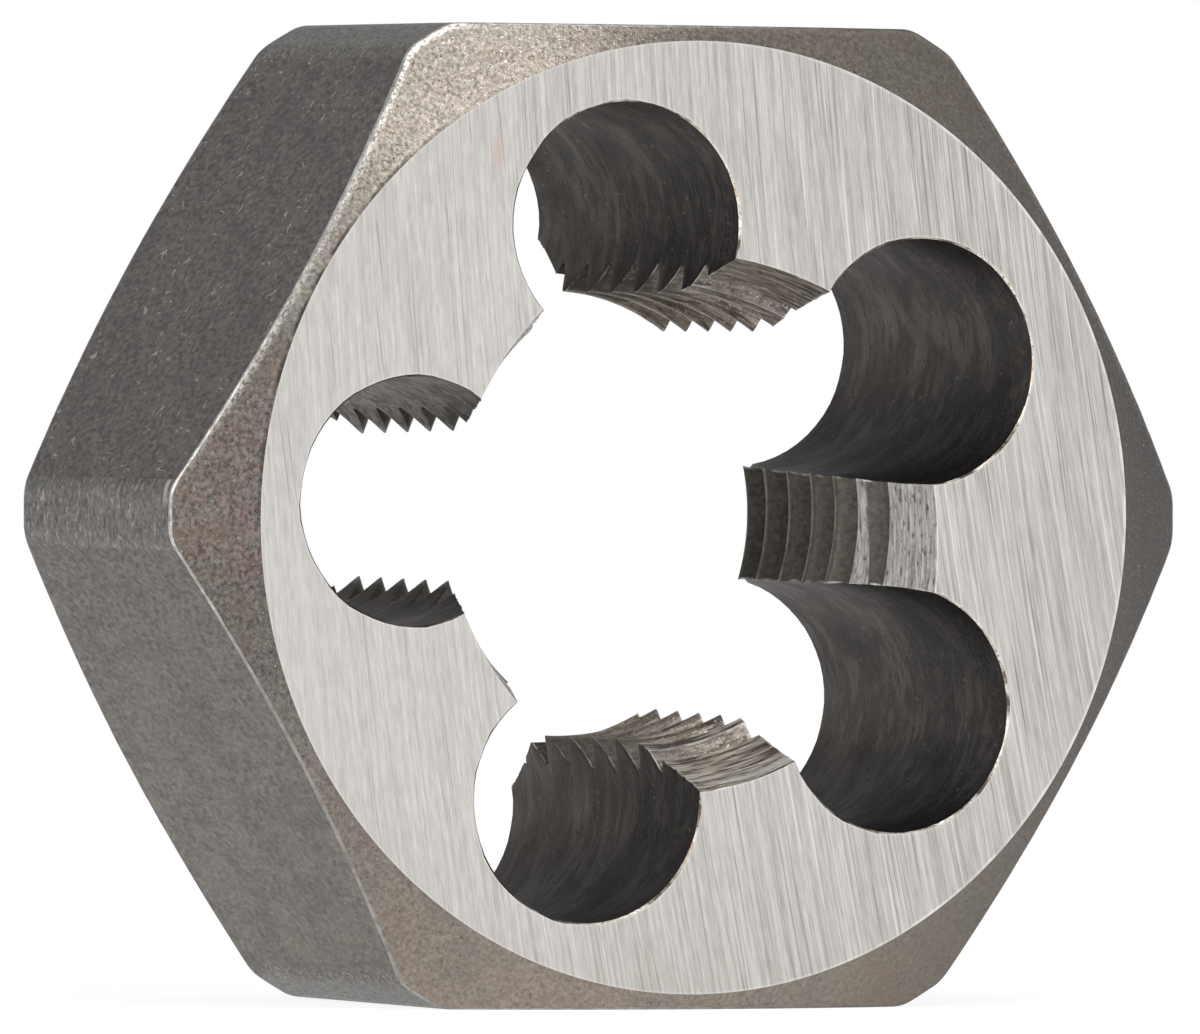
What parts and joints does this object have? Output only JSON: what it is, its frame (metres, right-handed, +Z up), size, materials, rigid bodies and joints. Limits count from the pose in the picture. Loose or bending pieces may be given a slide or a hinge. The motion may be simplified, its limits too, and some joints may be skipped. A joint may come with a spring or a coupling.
{
  "type": "hex threading die",
  "caption": "Hexagon rethreading die with round chip holes, narrow toothed lands and a right-hand metric thread.",
  "frame": {"origin": "middle of the block, on the axis of the thread, half way between the two ground faces", "axes": "+Y along the thread axis from the front face to the back face, +X across two corners of the hexagon, +Z up through two flats"},
  "size_m": [0.0304, 0.0126, 0.027],
  "materials": {
    "tool_steel": "ground faces, blasted and blackened chamfers and sides, cut threads"
  },
  "bodies": {
    "root": {"die_body": "tool_steel"}
  },
  "joints": []
}
